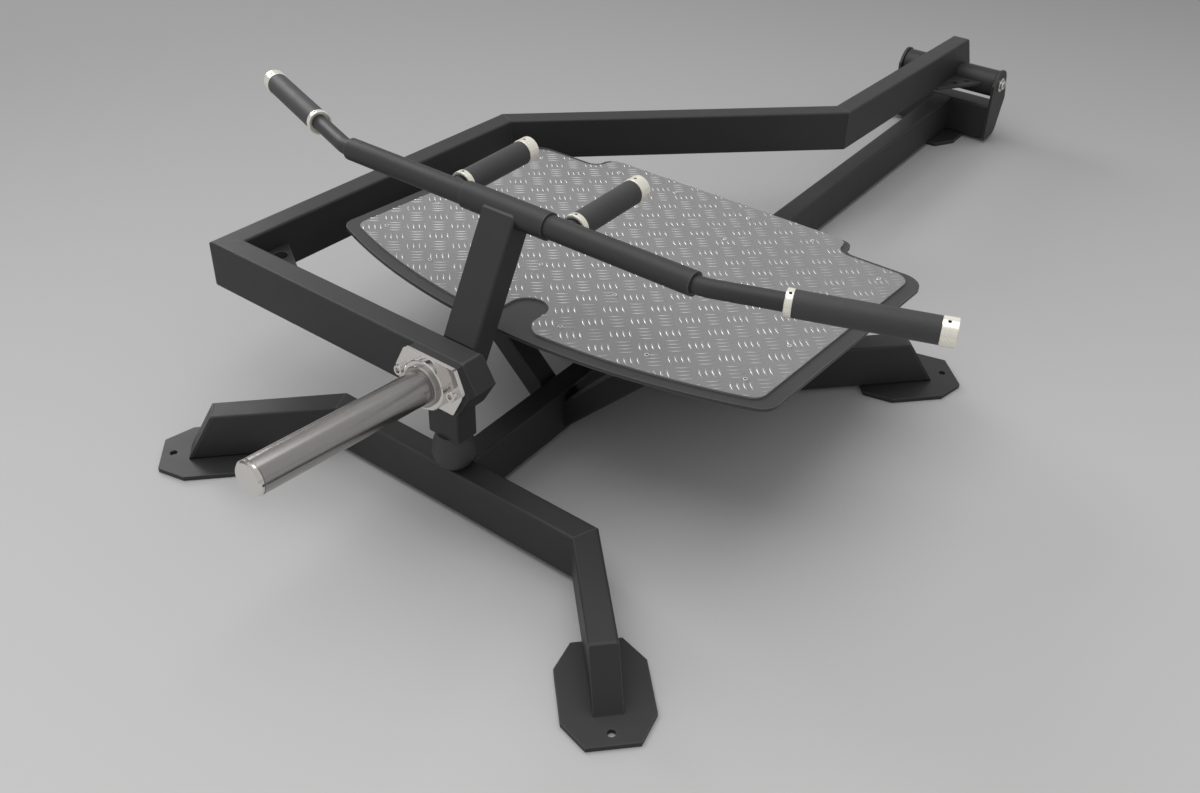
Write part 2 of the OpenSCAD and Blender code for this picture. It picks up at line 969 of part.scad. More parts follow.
// Flange outline: the hexagon with its pointed tips and corners rounded
module flange_outline() {
    difference() {
        hex_outline(flange_w, flange_top, flange_h);
        for (i = [-1, 1]) {
            scale([i, 1])
                corner_cut([flange_w, 0], [flange_top, flange_h], [flange_top, -flange_h],
                    tip_r);
            for (j = [-1, 1])
                scale([i, j])
                    corner_cut([flange_top, flange_h], [flange_w, 0], [0, flange_h],
                        corner_r);
        }
    }
}

spigot_d = 40;
boss_edge = 1.5;
boss_end = flange_t + boss_t;
horn_start = boss_end + collar_t;

module horn_flange() {
    color(chrome_col)
        on_horn()
            difference() {
                union() {
                    translate([0, flange_up, 0])
                        linear_extrude(height = flange_t)
                            flange_outline();
                    translate([0, 0, flange_t - 1])
                        cylinder(r = boss_r, h = boss_t + 1 - boss_edge);
                    translate([0, 0, boss_end - boss_edge])
                        cylinder(r1 = boss_r, r2 = boss_r - boss_edge, h = boss_edge);
                }
                flange_holes();
                translate([0, 0, -1])
                    cylinder(d = spigot_d + 2 * seat, h = boss_end + 2);
            }
}

horn_wall = 5;
groove = 1.5;

module weight_horn() {
    color(chrome_col)
        on_horn()
            difference() {
                union() {
                    cylinder(d = spigot_d, h = boss_end + 1);
                    translate([0, 0, boss_end + seat])
                        cylinder(d = collar_d, h = collar_t - seat - boss_edge);
                    translate([0, 0, horn_start - boss_edge])
                        cylinder(d1 = collar_d, d2 = collar_d - 2 * boss_edge, h = boss_edge);
                    translate([0, 0, horn_start - 1])
                        cylinder(d = horn_d, h = horn_l - plug_t + 1);
                }
                translate([0, 0, -1])
                    cylinder(d = spigot_d - 2 * horn_wall, h = horn_start + 6);
                translate([0, 0, horn_start + 4])
                    cylinder(d = horn_d - 2 * horn_wall, h = horn_l);
            }
}

plug_in = 20;
plug_edge = 3;

module horn_cap() {
    color(chrome_col)
        on_horn()
            translate([0, 0, horn_start + horn_l - plug_t + seat]) {
                translate([0, 0, -plug_in])
                    cylinder(d = horn_d - 2 * horn_wall - 2 * seat, h = plug_in + 1);
                cylinder(d = horn_d - 2 * groove, h = groove + 0.5);
                translate([0, 0, groove])
                    cylinder(d = horn_d, h = plug_t - groove - plug_edge);
                translate([0, 0, plug_t - plug_edge])
                    cylinder(d1 = horn_d, d2 = horn_d - 2 * plug_edge + 1, h = plug_edge);
            }
}

cap_head = 16;

cap_high = 10;

module flange_bolts() {
    color(chrome_col)
        on_horn()
            for (i = [-1, 1])
                translate([i * flange_bolt_x, flange_up, flange_t + seat])
                    difference() {
                        union() {
                            cylinder(d = cap_head, h = cap_high - 1, $fn = 48);
                            translate([0, 0, cap_high - 1])
                                cylinder(d1 = cap_head, d2 = cap_head - 2, h = 1, $fn = 48);
                            translate([0, 0, 2 - flange_t - backing_t])
                                cylinder(d = 10, h = flange_t + backing_t, $fn = 48);
                        }
                        translate([0, 0, cap_high - 6])
                            cylinder(d = 9.2, h = 7, $fn = 6);
                    }
}

module bumper_stub() {
    color(powder)
        arm_place()
            translate([0, -front_mid, arm_low - stub_l])
                difference() {
                    linear_extrude(height = stub_l - seat)
                        rounded(post_w, tube_w, post_r);
                    translate([0, 0, 4])
                        linear_extrude(height = stub_l)
                            rounded(post_w - 6, tube_w - 6, 1.5);
                }
}

// Half section of the bumper, its widest ring at Y = 0
module ball_profile() {
    intersection() {
        translate([0, -ball_d])
            square([ball_d, ball_d + ball_up - seat]);
        union() {
            difference() {
                circle(d = ball_d);
                translate([-ball_d, 0])
                    square(2 * ball_d);
            }
            difference() {
                translate([ball_d / 2 - ball_side, 0])
                    circle(r = ball_side);
                translate([-4 * ball_side, -4 * ball_side])
                    square([8 * ball_side, 4 * ball_side]);
            }
        }
    }
}

// Rubber bumper as it lies, flattened a little on the front cross tube
module bumper_ball() {
    color(rubber_col)
        difference() {
            arm_place()
                translate([0, -front_mid, -ball_drop])
                    rotate_extrude()
                        ball_profile();
            translate([-big / 2, -big, rest_z - big])
                cube(big);
        }
}

module handle_post() {
    color(powder)
        arm_place()
            difference() {
                translate([0, post_foot, arm_top])
                    rotate([-post_lean, 0, 0])
                        translate([0, post_d / 2, -2 * post_l])
                            linear_extrude(height = 3 * post_l)
                                hollow(post_w, post_d, post_r, tube_t);
                translate([-big / 2, post_foot - big, -big / 2])
                    cube([big, big, big]);
                translate([-big / 2, -big, arm_low - big])
                    cube([big, big, big]);
                translate([0, bar_y, bar_z])
                    rotate([0, 90, 0])
                        cylinder(d = sleeve_d + 2 * seat, h = 3 * post_w, center = true);
                translate([0, bar_y, bar_z])
                    rotate([-post_lean, 0, 0])
                        translate([-post_w, -big / 2, 0])
                            cube([2 * post_w, big, big]);
            }
}

// Handle pieces: origin on the bar axis at the centreline
module on_bar() {
    arm_place()
        translate([0, bar_y, bar_z])
            children();
}

module pipe_x(d_out, d_in, x0, x1) {
    translate([x0, 0, 0])
        rotate([0, 90, 0])
            difference() {
                cylinder(d = d_out, h = x1 - x0);
                translate([0, 0, -1])
                    cylinder(d = d_in, h = x1 - x0 + 2);
            }
}

module handle_sleeve() {
    color(powder)
        on_bar()
            pipe_x(sleeve_d, bar_d + 2 * seat, -sleeve_l / 2, sleeve_l / 2);
}

module handle_bar() {
    color(powder)
        on_bar()
            pipe_x(bar_d, end_d + 2 * seat, -bar_l / 2, bar_l / 2);
}

end_wall = 3;
insert = 60;
slip = 0.03;

// Crank coordinates: X along the cranked end, origin at the bend corner
module cranked() {
    translate([bend_x, 0, 0])
        rotate([0, 0, crank])
            children();
}

module handle_end() {
    tangent = bend_r * tan(crank / 2);
    pipe_x(end_d - 2 * slip, end_d - 2 * end_wall + 2 * slip, bar_l / 2 - insert,
        bar_l / 2 + 1);
    cranked() {
        translate([tangent, bend_r, 0])
            rotate([0, 0, -90])
                rotate_extrude(angle = -crank, $fn = 144)
                    translate([bend_r, 0])
                        difference() {
                            circle(d = end_d);
                            circle(d = end_d - 2 * end_wall);
                        }
        pipe_x(end_d, end_d - 2 * end_wall, tangent, grip_end + cap_l - 4);
    }
}

module handle_end_r() { color(powder) on_bar() handle_end(); }
module handle_end_l() { color(powder) left() on_bar() handle_end(); }

module rubber(from, len) {
    pipe_x(grip_d, end_d + 2 * seat, from + seat, from + len - seat);
}

module grip_r() { color(rubber_col) on_bar() cranked() rubber(grip_start + ring_w, grip_l); }
module grip_l() {
    color(rubber_col) left() on_bar() cranked() rubber(grip_start + ring_w, grip_l);
}

ring_edge = 0.8;

// Solid ring along X with both edges chamfered
module ring_x(x0, len) {
    translate([x0, 0, 0])
        rotate([0, 90, 0]) {
            cylinder(d1 = ring_d - 2 * ring_edge, d2 = ring_d, h = ring_edge);
            translate([0, 0, ring_edge])
                cylinder(d = ring_d, h = len - 2 * ring_edge);
            translate([0, 0, len - ring_edge])
                cylinder(d1 = ring_d, d2 = ring_d - 2 * ring_edge, h = ring_edge);
        }
}

ring_rim = 3.5;
ring_recess = 3;

// Radial set screw hole in the upper side of a ring
module set_hole(x, lean) {
    rotate([lean, 0, 0])
        translate([x, 0, end_d / 2 + 1.5])
            cylinder(d = set_d, h = ring_d, $fn = 24);
}

// Collar with a recess round the tube in its open side
module ring(x0, lean) {
    difference() {
        ring_x(x0, ring_w);
        translate([x0 - 1, 0, 0])
            rotate([0, 90, 0])
                cylinder(d = end_d + 2 * seat, h = ring_w + 2);
        translate([x0 - 1, 0, 0])
            rotate([0, 90, 0])
                cylinder(d = ring_d - 2 * ring_rim, h = 1 + ring_recess);
        set_hole(x0 + (ring_w + ring_recess) / 2 - 1, lean);
    }
}

module end_cap(x0, lean) {
    difference() {
        ring_x(x0, cap_l);
        translate([x0 - 1, 0, 0])
            rotate([0, 90, 0])
                cylinder(d = end_d + 2 * seat, h = cap_l - 3);
        set_hole(x0 + 8, lean);
    }
}

module grip_collars() {
    color(satin_col) {
        on_bar() cranked() ring(grip_start, set_lean);
        left() on_bar() cranked() ring(grip_start, set_lean);
    }
}

module grip_caps() {
    color(satin_col) {
        on_bar() cranked() end_cap(grip_end, set_lean);
        left() on_bar() cranked() end_cap(grip_end, set_lean);
    }
}

// Neutral grip coordinates: X rearward and slightly up from the bar axis
module neutral() {
    on_bar()
        translate([neutral_x, 0, 0])
            rotate([neutral_rise, 0, 0])
                rotate([0, 0, 90])
                    children();
}

module neutral_stub() {
    neutral()
        difference() {
            pipe_x(end_d, end_d - 2 * end_wall, 0, neutral_end + cap_l - 4);
            rotate([90, 0, 0])
                cylinder(d = bar_d + 2 * seat, h = 2 * bar_d, center = true);
        }
}

module neutral_stub_r() { color(powder) neutral_stub(); }
module neutral_stub_l() { color(powder) left() neutral_stub(); }
module neutral_grip_r() { color(rubber_col) neutral() rubber(neutral_start + ring_w, neutral_l); }
module neutral_grip_l() {
    color(rubber_col) left() neutral() rubber(neutral_start + ring_w, neutral_l);
}

module neutral_collars() {
    color(satin_col) {
        neutral() ring(neutral_start, 0);
        left() neutral() ring(neutral_start, 0);
    }
}

module neutral_caps() {
    color(satin_col) {
        neutral() end_cap(neutral_end, 0);
        left() neutral() end_cap(neutral_end, 0);
    }
}

front_cross_tube();
leg_front_r();
leg_front_l();
leg_mid_r();
leg_mid_l();
leg_caps();
mid_cross_tube_r();
mid_cross_tube_l();
main_beam();
foot_front_r();
foot_front_l();
foot_mid_r();
foot_mid_l();
foot_rear();
rear_box();
side_plate_r();
side_plate_l();
strut_r();
strut_l();
rear_posts();
platform_base();
tread_plate();
platform_screws();
axle();
pivot_bolts();
thrust_washers();
arm_rear_tube();
arm_diagonal_tube();
arm_side_tube();
arm_front_tube();
arm_end_cap();
arm_rear_cap();
corner_gusset();
pivot_barrel();
barrel_gusset_r();
barrel_gusset_l();
pivot_bushes();
backing_plate();
horn_flange();
weight_horn();
horn_cap();
flange_bolts();
bumper_stub();
bumper_ball();
handle_post();
handle_sleeve();
handle_bar();
handle_end_r();
handle_end_l();
grip_r();
grip_l();
grip_collars();
grip_caps();
neutral_stub_r();
neutral_stub_l();
neutral_grip_r();
neutral_grip_l();
neutral_collars();
neutral_caps();
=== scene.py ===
import bmesh
import bpy
import json
import math
from mathutils import Matrix, Vector


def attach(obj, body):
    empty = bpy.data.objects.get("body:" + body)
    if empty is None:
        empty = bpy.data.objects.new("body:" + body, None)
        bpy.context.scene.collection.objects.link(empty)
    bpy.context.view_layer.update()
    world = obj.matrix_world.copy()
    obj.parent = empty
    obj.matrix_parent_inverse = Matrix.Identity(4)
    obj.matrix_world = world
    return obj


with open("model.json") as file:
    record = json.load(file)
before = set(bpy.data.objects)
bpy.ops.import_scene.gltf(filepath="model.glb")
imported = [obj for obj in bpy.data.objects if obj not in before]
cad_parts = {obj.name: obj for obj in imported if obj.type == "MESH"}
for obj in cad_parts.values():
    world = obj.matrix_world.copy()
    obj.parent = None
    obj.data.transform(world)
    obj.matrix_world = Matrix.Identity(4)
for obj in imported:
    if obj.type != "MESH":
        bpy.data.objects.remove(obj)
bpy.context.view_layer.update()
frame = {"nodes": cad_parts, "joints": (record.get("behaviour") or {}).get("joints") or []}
nodes = frame["nodes"]

# Places on the machine, in metres, as the part's source gives them
PLATFORM_HIGH = 0.2575
PLATFORM_TILT = math.radians(4.9)
PIVOT = Vector(frame["joints"][0]["pos_m"])
LEVER_TILT = math.radians(2.5239)
ON_PLATFORM = (Matrix.Translation((0, 0, PLATFORM_HIGH))
    @ Matrix.Rotation(-PLATFORM_TILT, 4, "X"))
ON_LEVER = Matrix.Translation(PIVOT) @ Matrix.Rotation(-LEVER_TILT, 4, "X")

# The handle bar on the lever, its cranked ends and their collars and caps
HANDLE_Y = -1.58471
HANDLE_Z = 0.24190
BEND_X = 0.32384
CRANK = math.radians(20)
COLLAR_X = 0.1035
COLLAR_SCREW_IN = 0.0055
CAP_X = 0.2905
CAP_SCREW_IN = 0.008

# The neutral grips beside the handle post
NEUTRAL_X = 0.103
NEUTRAL_RISE = math.radians(2)
NEUTRAL_COLLAR_X = 0.0175
NEUTRAL_CAP_X = 0.1485

# The set screws of collars and caps, measured from the middle of the bar
SET_LEAN = math.radians(20)
SET_RADIUS = 0.00215
SET_BOTTOM = 0.01405
SET_TOP = 0.0178
SET_RIM = 0.0009
SET_SOCKET_DEEP = 0.0016
SET_SIDES = 18

# The raised bars of the tread plate, in groups of four that alternate in heading
TREAD_THICK = 0.003
BAR_HALF = 0.0125
BAR_HALF_WIDE = 0.0024
BAR_HIGH = 0.00095
BAR_FLANK = 0.5
BAR_SUNK = 0.00003
BAR_SIDES = 16
BAR_RINGS = 6
BAR_TURN = math.radians(45)
BAR_STEP = 0.0094
BAR_STEPS = (-1.5, -0.5, 0.5, 1.5)
GROUP_X = 0.0514
GROUP_Y = 0.0516
FIRST_X = -0.0053
FIRST_Y = 0.0819
COLUMNS = range(-9, 10)
ROWS = range(-6, 9)
TRIM = 0.0001
PROBE = 0.0005

# The platform's countersunk screws
SCREW_RADIUS = 0.0027
SCREW_RIM = 0.0006
RIM_SIDES = 8
RIM_STEPS = 24
SCREW_SOCKET = 0.0020
SOCKET_SIDES = 6
SOCKET_BELOW = 0.0004
SOCKET_HIGH = 0.0006

# How the meshes are read and cut
MERGE = 0.00001
TINY = 1e-7
AT_POLE = 0.001
LEVEL = 0.9
QUARTER = math.pi / 2


# Shader arithmetic

# The sockets of a Mix node that hold its factor, its two colours and their mixture
MIX_FACTOR = 0
MIX_FIRST = 6
MIX_SECOND = 7
MIX_RESULT = 2
BEVEL_SAMPLES = 4


class Value:
    """A number carried by a shader socket, used in plain arithmetic."""

    def __init__(self, finish, socket):
        self.finish = finish
        self.socket = socket

    def math(self, operation, first, second):
        return self.finish.add("ShaderNodeMath", {"operation": operation}, [first, second])

    def __add__(self, other):
        return self.math("ADD", self, other)

    def __sub__(self, other):
        return self.math("SUBTRACT", self, other)

    def __rsub__(self, other):
        return self.math("SUBTRACT", other, self)

    def __mul__(self, other):
        return self.math("MULTIPLY", self, other)

    __radd__ = __add__
    __rmul__ = __mul__


class Finish:
    """A node tree of a material or of the room's light, and the nodes that make it."""

    def __init__(self, owner, shader="Principled BSDF", place="Object"):
        self.owner = owner
        owner.use_nodes = True
        self.tree = owner.node_tree
        self.shader = self.tree.nodes[shader]
        self.place = self.add("ShaderNodeTexCoord", {}, [], place)

    def add(self, kind, settings, sockets, output=0):
        """A node of that kind: its settings first, then the values or links of its sockets."""
        node = self.tree.nodes.new(kind)
        for key, value in settings.items():
            setattr(node, key, value)
        pairs = sockets.items() if isinstance(sockets, dict) else enumerate(sockets)
        for key, value in pairs:
            self.feed(node.inputs[key], value)
        return Value(self, node.outputs[output])

    def feed(self, socket, value):
        """A link or a constant for the socket; a colour gets its alpha."""
        if isinstance(value, Value):
            self.tree.links.new(value.socket, socket)
        elif socket.type == "RGBA":
            socket.default_value = (*value, 1)
        else:
            socket.default_value = value

    def set(self, **sockets):
        """Feeds the shader's own sockets, and gives back the material."""
        for key, value in sockets.items():
            self.feed(self.shader.inputs[key.replace("_", " ")], value)
        return self.owner

    def noise(self, scale, detail, roughness=0.5, place=None):
        return self.add("ShaderNodeTexNoise", {}, {"Vector": place or self.place,
            "Scale": scale, "Detail": detail, "Roughness": roughness}, "Fac")

    def scaled(self, x, y, z):
        return self.add("ShaderNodeMapping", {}, {"Vector": self.place, "Scale": (x, y, z)})

    def between(self, value, low, high, ease="LINEAR"):
        """0 at low, 1 at high, and held there outside."""
        return self.add("ShaderNodeMapRange", {"interpolation_type": ease},
            {"Value": value, "From Min": low, "From Max": high})

    def faded(self, value, low, high):
        """0 at low, 1 at high, with soft ends."""
        return self.between(value, low, high, "SMOOTHSTEP")

    def mix(self, factor, first, second):
        """The first colour where the factor is 0, the second where it is 1."""
        return self.add("ShaderNodeMix", {"data_type": "RGBA"},
            {MIX_FACTOR: factor, MIX_FIRST: first, MIX_SECOND: second}, MIX_RESULT)

    def over(self, base, shade, mask, share):
        """The base with that share of a shade laid over it where the mask is 1."""
        return self.mix(mask * share, base, shade)

    def dot(self, a, b):
        return self.add("ShaderNodeVectorMath", {"operation": "DOT_PRODUCT"}, [a, b], "Value")

    def toward(self, direction):
        """How far the place lies along that direction."""
        return self.dot(self.place, direction)

    def rounded(self, radius):
        """Surface direction with the edges softened by that radius."""
        return self.add("ShaderNodeBevel", {"samples": BEVEL_SAMPLES}, {"Radius": radius})

    def edges(self, radius, flat_until=0.02, full_at=0.22):
        """1 along outside and inside edges, 0 on flat faces."""
        flat = self.add("ShaderNodeNewGeometry", {}, [], "True Normal")
        return self.between(1 - self.dot(self.rounded(radius), flat), flat_until, full_at)

    def bump(self, height, distance, strength, normal=None):
        sockets = {"Height": height, "Distance": distance, "Strength": strength}
        if normal:
            sockets["Normal"] = normal
        return self.add("ShaderNodeBump", {}, sockets)


def new_finish(name):
    return Finish(bpy.data.materials.new(name))


def tinted(shade, amount, most=1.0):
    """The shade made darker or lighter by that factor."""
    return [min(channel * amount, most) for channel in shade]


def grey(level):
    return (level, level, level)


# Finishes, with noise scales in waves per metre and all lengths in metres

def powder_coat(name, shade, edge_radius=0.0015, edge_highlight_width=0.0026, rough=0.44):
    """Fine satin powder coat: a soft texture, faint clouding and a painted highlight along its
    edges.
    """
    coat = new_finish(name)
    grain = coat.noise(scale=1500, detail=2, roughness=0.6)
    clouds = coat.noise(scale=9, detail=3, roughness=0.55)
    smudges = coat.noise(scale=38, detail=3, roughness=0.6)
    specks = coat.between(coat.noise(scale=2600, detail=1), low=0.62, high=0.74)
    base = coat.mix(clouds, tinted(shade, 0.86), tinted(shade, 1.12))
    base = coat.over(base, tinted(shade, 2.2), specks, share=0.25)
    # Outside and inside edges painted five times lighter: a painted highlight
    base = coat.over(base, tinted(shade, 5.0), coat.edges(edge_highlight_width), share=0.8)
    return coat.set(Base_Color=base, Roughness=rough + 0.10 * smudges + 0.06 * grain,
        Normal=coat.bump(grain, distance=0.00006, strength=0.55, normal=coat.rounded(edge_radius)),
        Specular_IOR_Level=0.5)


def rubber(name, shade, edge_radius=0.0012, rough=0.50):
    """Dull black rubber with a fine open texture."""
    skin = new_finish(name)
    pores = skin.add("ShaderNodeTexVoronoi", {}, {"Vector": skin.place, "Scale": 900}, "Distance")
    grain = skin.noise(scale=1300, detail=3, roughness=0.6)
    clouds = skin.noise(scale=22, detail=3)
    smudges = skin.noise(scale=60, detail=3)
    base = skin.mix(clouds, tinted(shade, 0.85), tinted(shade, 1.18))
    base = skin.over(base, tinted(shade, 1.7), skin.between(grain, low=0.55, high=0.8), share=0.35)
    height = 0.6 * pores + 0.4 * grain
    return skin.set(Base_Color=base, Roughness=rough + 0.10 * smudges + 0.05 * grain,
        Normal=skin.bump(height, distance=0.00012, strength=0.7, normal=skin.rounded(edge_radius)),
        Specular_IOR_Level=0.45)


def tread_metal(name, low, high, rough, metallic, pit_depth):
    """Rolled tread plate: a milled grey face, finely pitted and lightly scuffed."""
    metal = new_finish(name)
    rolled = metal.noise(scale=1, detail=4, roughness=0.6, place=metal.scaled(900, 90, 900))
    scuffs = metal.noise(scale=1, detail=5, roughness=0.7, place=metal.scaled(60, 260, 60))
    pits = metal.noise(scale=900, detail=3, roughness=0.65)
    clouds = metal.noise(scale=7, detail=4, roughness=0.6)
    smudges = metal.noise(scale=40, detail=4, roughness=0.6)
    base = metal.mix(clouds, grey(low), grey(high))
    pitted = metal.between(pits, low=0.3, high=0.75)
    base = metal.over(base, grey(high * 1.1), pitted, share=0.6)
    scuffed = metal.between(scuffs, low=0.60, high=0.82)
    base = metal.over(base, grey(high * 1.25), scuffed, share=0.35)
    height = 0.55 * pits + 0.45 * rolled
    return metal.set(Base_Color=base, Roughness=rough + 0.12 * smudges + 0.05 * rolled,
        Metallic=metallic, Normal=metal.bump(height, distance=pit_depth, strength=0.6))


def bright_steel(name, shade, rough, streak, axis=(1, 1, 1), edge_radius=0.0008, metallic=1.0):
    """Plated steel: polishing marks along the piece and faint handling smears."""
    metal = new_finish(name)
    along = metal.scaled(*[900 * share for share in axis])
    marks = metal.noise(scale=1, detail=3, roughness=0.6, place=along)
    smears = metal.noise(scale=14, detail=3, roughness=0.55)
    base = metal.mix(metal.between(smears, low=0.35, high=0.75), shade, tinted(shade, 0.95))
    marked = metal.between(marks, low=0.55, high=0.8)
    base = metal.over(base, tinted(shade, 1.06, most=0.95), marked, share=0.3)
    smeared = metal.between(smears, low=0.45, high=0.8)
    return metal.set(Base_Color=base, Metallic=metallic,
        Roughness=rough + streak * marks + 0.03 * smeared,
        Normal=metal.bump(marks, distance=0.00001, strength=0.5, normal=metal.rounded(edge_radius)))


def bronze(name, dark, light, edge_radius=0.0005, rough=0.32):
    """Sintered bronze, a little darkened by oil."""
    metal = new_finish(name)
    grain = metal.noise(scale=700, detail=3, roughness=0.7)
    oil = metal.noise(scale=60, detail=3)
    return metal.set(Base_Color=metal.mix(oil, dark, light), Metallic=1.0,
        Roughness=rough + 0.2 * oil,
        Normal=metal.bump(grain, distance=0.00004, strength=0.5, normal=metal.rounded(edge_radius)))


FRAME_PAINT = powder_coat("frame_paint", (0.021, 0.021, 0.0215))
PLATFORM_PAINT = powder_coat("platform_paint", (0.040, 0.040, 0.041))
PLATE_PAINT = powder_coat("plate_paint", (0.013, 0.013, 0.0135))
HANDLE_PAINT = powder_coat("handle_paint", (0.026, 0.026, 0.0265), edge_radius=0.0006)
TREAD = tread_metal("tread_metal", low=0.245, high=0.285, rough=0.38, metallic=0.35,
    pit_depth=0.00012)
TREAD_BAR = tread_metal("tread_bar_metal", low=0.32, high=0.38, rough=0.22, metallic=0.55,
    pit_depth=0.00002)
RUBBER = rubber("rubber", (0.047, 0.047, 0.048))
HORN_CHROME = bright_steel("horn_chrome", (0.385, 0.372, 0.359), rough=0.22, streak=0.05,
    axis=(1, 0.03, 1))
CHROME = bright_steel("chrome", (0.76, 0.735, 0.71), rough=0.10, streak=0.03,
    edge_radius=0.0003)
SATIN = bright_steel("satin_metal", (0.97, 0.94, 0.83), rough=0.22, streak=0.08, metallic=0.5)
# A paler copy of the screws' zinc for their rims: a painted highlight
RIM_HIGHLIGHT_ZINC = bright_steel("rim_highlight_zinc", (0.90, 0.90, 0.88), rough=0.25, streak=0.08, metallic=0.5)
ZINC = bright_steel("zinc_steel", (0.66, 0.66, 0.65), rough=0.28, streak=0.08)
BLACK_STEEL = bright_steel("black_steel", grey(0.018), rough=0.40, streak=0.08, metallic=0.2)
# Dark metal for the blocks that stand for the shade inside the screw sockets: painted shade
SOCKET_SHADE = bright_steel("socket_shade", grey(0.10), rough=0.35, streak=0.08)
BRONZE = bronze("bronze", (0.24, 0.15, 0.06), (0.42, 0.28, 0.13))
OILED_BRONZE = bronze("oiled_bronze", (0.03, 0.025, 0.02), (0.06, 0.05, 0.035))


# The frame's own pieces

def dress(finish, *names):
    """Puts a finish on every face of those nodes."""
    for name in names:
        mesh = nodes[name].data
        if not mesh.materials:
            mesh.materials.append(finish)
        for slot in nodes[name].material_slots:
            slot.material = finish


dress(FRAME_PAINT, *nodes)
dress(PLATFORM_PAINT, "platform_base")
dress(HANDLE_PAINT, "handle_sleeve", "handle_bar", "handle_end_r", "handle_end_l",
    "neutral_stub_r", "neutral_stub_l")
dress(PLATE_PAINT, "backing_plate")
dress(TREAD, "tread_plate")
dress(RUBBER, "grip_r", "grip_l", "neutral_grip_r", "neutral_grip_l", "bumper_ball")
dress(HORN_CHROME, "weight_horn")
dress(CHROME, "horn_flange", "horn_cap", "flange_bolts", "pivot_bolts")
dress(SATIN, "grip_collars", "grip_caps", "neutral_collars", "neutral_caps")
dress(ZINC, "platform_screws", "axle")
dress(BRONZE, "pivot_bushes")
dress(OILED_BRONZE, "thrust_washers")


# Added pieces

def keep(bm, name, finish, body):
    """The finished mesh as a piece that rides on a body."""
    mesh = bpy.data.meshes.new(name)
    bm.to_mesh(mesh)
    bm.free()
    mesh.materials.append(finish)
    piece = bpy.data.objects.new(name, mesh)
    bpy.context.scene.collection.objects.link(piece)
    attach(piece, body)


def join(done, part):
    """Moves the part's mesh into the one of the whole piece."""
    mesh = bpy.data.meshes.new("part")
    part.to_mesh(mesh)
    part.free()
    done.from_mesh(mesh)
    bpy.data.meshes.remove(mesh)


def flat_copy(name):
    """A merged copy of a node's mesh, laid in the platform's own plane."""
    bm = bmesh.new()
    bm.from_mesh(nodes[name].data)
    bmesh.ops.remove_doubles(bm, verts=bm.verts, dist=MERGE)
    bmesh.ops.transform(bm, matrix=ON_PLATFORM.inverted(), verts=bm.verts)
    bm.normal_update()
    return bm


def cut_away(bm, spot, outward):
    """Cuts off what lies outward of the spot. The cut stays open."""
    bmesh.ops.bisect_plane(bm, geom=[*bm.verts, *bm.edges, *bm.faces], dist=TINY,
        plane_co=spot, plane_no=outward, clear_outer=True)


def tread_outline():
    """Edge lines of the tread plate's top, in the platform's own plane."""
    bm = flat_copy("tread_plate")
    lines = []
    for edge in bm.edges:
        up = [face.normal.z > LEVEL for face in edge.link_faces]
        if min(v.co.z for v in edge.verts) > TREAD_THICK / 2 and any(up) and not all(up):
            lines.append([Vector(v.co[:2]) for v in edge.verts])
    bm.free()
    return lines


def inside(point, lines):
    """Whether the outline goes round the point, from the edges that lie beside it."""
    hits = 0
    for a, b in lines:
        if (a.y > point.y) != (b.y > point.y):
            hits += point.x < a.x + (point.y - a.y) * (b.x - a.x) / (b.y - a.y)
    return hits % 2 == 1


def nearest(point, lines):
    """The distance to the outline, its closest spot and its heading there."""
    best = (math.inf, None, None)
    for a, b in lines:
        along = b - a
        if along.length < TINY:
            continue
        share = min(max((point - a).dot(along) / along.length_squared, 0), 1)
        spot = a + along * share
        gap = (spot - point).length
        if gap < best[0]:
            best = (gap, spot, along.normalized())
    return best


def tread_bar():
    """One raised lens shaped bar along X with a flat top, closed underneath."""
    bm = bmesh.new()
    bmesh.ops.create_uvsphere(bm, u_segments=BAR_SIDES, v_segments=BAR_RINGS, radius=1)
    bmesh.ops.rotate(bm, verts=bm.verts, matrix=Matrix.Rotation(QUARTER, 3, "Y"))
    for v in bm.verts:
        ring = math.hypot(v.co.y, v.co.z)
        if ring > AT_POLE:
            flank = (1 - abs(v.co.y) / ring) / BAR_FLANK
            v.co.z = math.copysign(ring * min(1, flank), v.co.z)
        v.co.y *= ring
    bmesh.ops.scale(bm, verts=bm.verts, vec=(BAR_HALF, BAR_HALF_WIDE, BAR_HIGH))
    cut_away(bm, (0, 0, 0), (0, 0, -1))
    bmesh.ops.holes_fill(bm, edges=bm.edges, sides=0)
    bmesh.ops.recalc_face_normals(bm, faces=bm.faces)
    for face in bm.faces:
        face.smooth = face.normal.z > -LEVEL
        for edge in face.edges:
            edge.smooth = edge.smooth and face.smooth
    bar = bpy.data.meshes.new("one_bar")
    bm.to_mesh(bar)
    bm.free()
    return bar


def place_bar(done, bar, middle, heading, lines):
    """Adds one bar, cut off square where it runs past the tread plate's edge."""
    gap, spot, along = nearest(middle, lines)
    if gap > BAR_HALF and not inside(middle, lines):
        return
    bm = bmesh.new()
    bm.from_mesh(bar)
    bmesh.ops.transform(bm, verts=bm.verts,
        matrix=Matrix.Translation((middle.x, middle.y, TREAD_THICK - BAR_SUNK))
        @ Matrix.Rotation(heading, 4, "Z"))
    if gap < BAR_HALF:
        outward = Vector((along.y, -along.x))
        if inside(spot + outward * PROBE, lines):
            outward.negate()
        cut_away(bm, (*(spot - outward * TRIM), 0), (*outward, 0))
        bmesh.ops.holes_fill(bm, edges=bm.edges, sides=0)
    if bm.faces:
        join(done, bm)
    else:
        bm.free()


def bar_groups():
    """The middle and heading of each group of bars, in the platform's own plane."""
    for column in COLUMNS:
        for row in ROWS:
            for offset, heading in ((0, -BAR_TURN), (0.5, BAR_TURN)):
                middle = Vector((FIRST_X + GROUP_X * (column + offset),
                    FIRST_Y + GROUP_Y * (row + offset)))
                yield middle, heading


